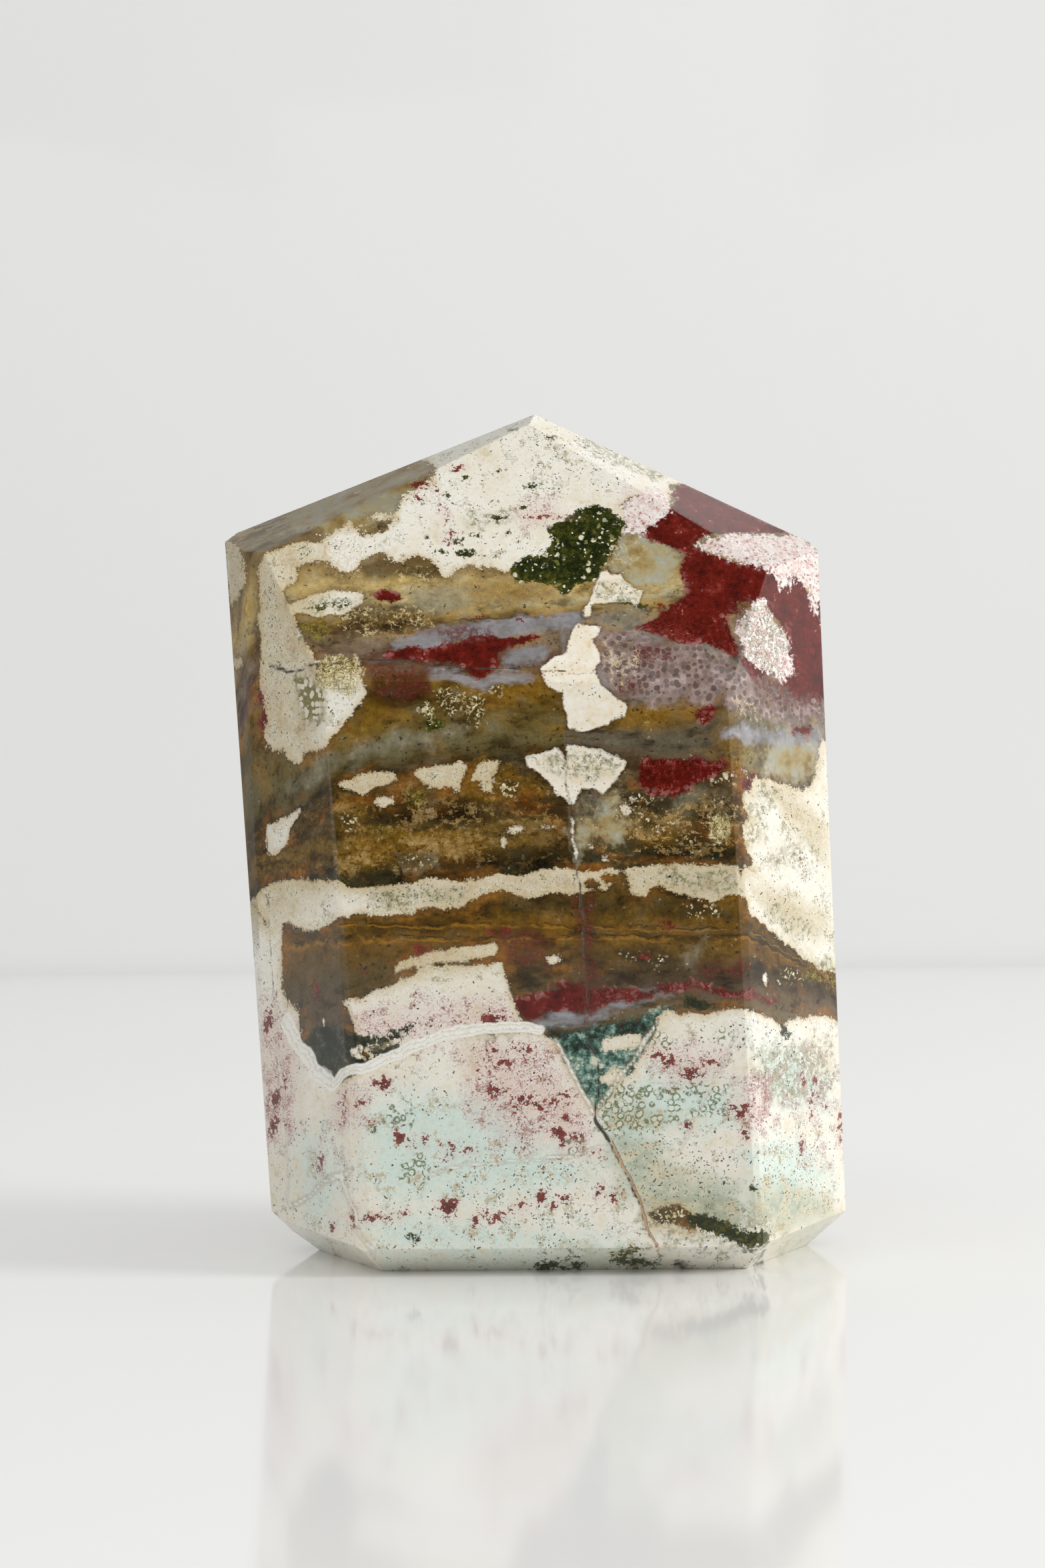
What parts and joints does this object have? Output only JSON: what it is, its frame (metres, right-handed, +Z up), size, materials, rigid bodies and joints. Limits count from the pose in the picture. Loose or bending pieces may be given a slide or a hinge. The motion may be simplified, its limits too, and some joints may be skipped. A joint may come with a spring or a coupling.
{
  "type": "unicorn jasper tower",
  "caption": "Polished free-standing stone tower, ground to flat faces that rise to a low point, with a bevelled foot and a flat base to stand on",
  "frame": {"origin": "centre of the footprint's bounding box, on the resting plane", "axes": "+Z up to the point, -Y is the broad front face, +X is the viewer's right"},
  "size_m": [0.0806, 0.0502, 0.1096],
  "materials": {
    "jasper": "polished"
  },
  "bodies": {
    "root": {"jasper_tower": "jasper"}
  },
  "joints": []
}
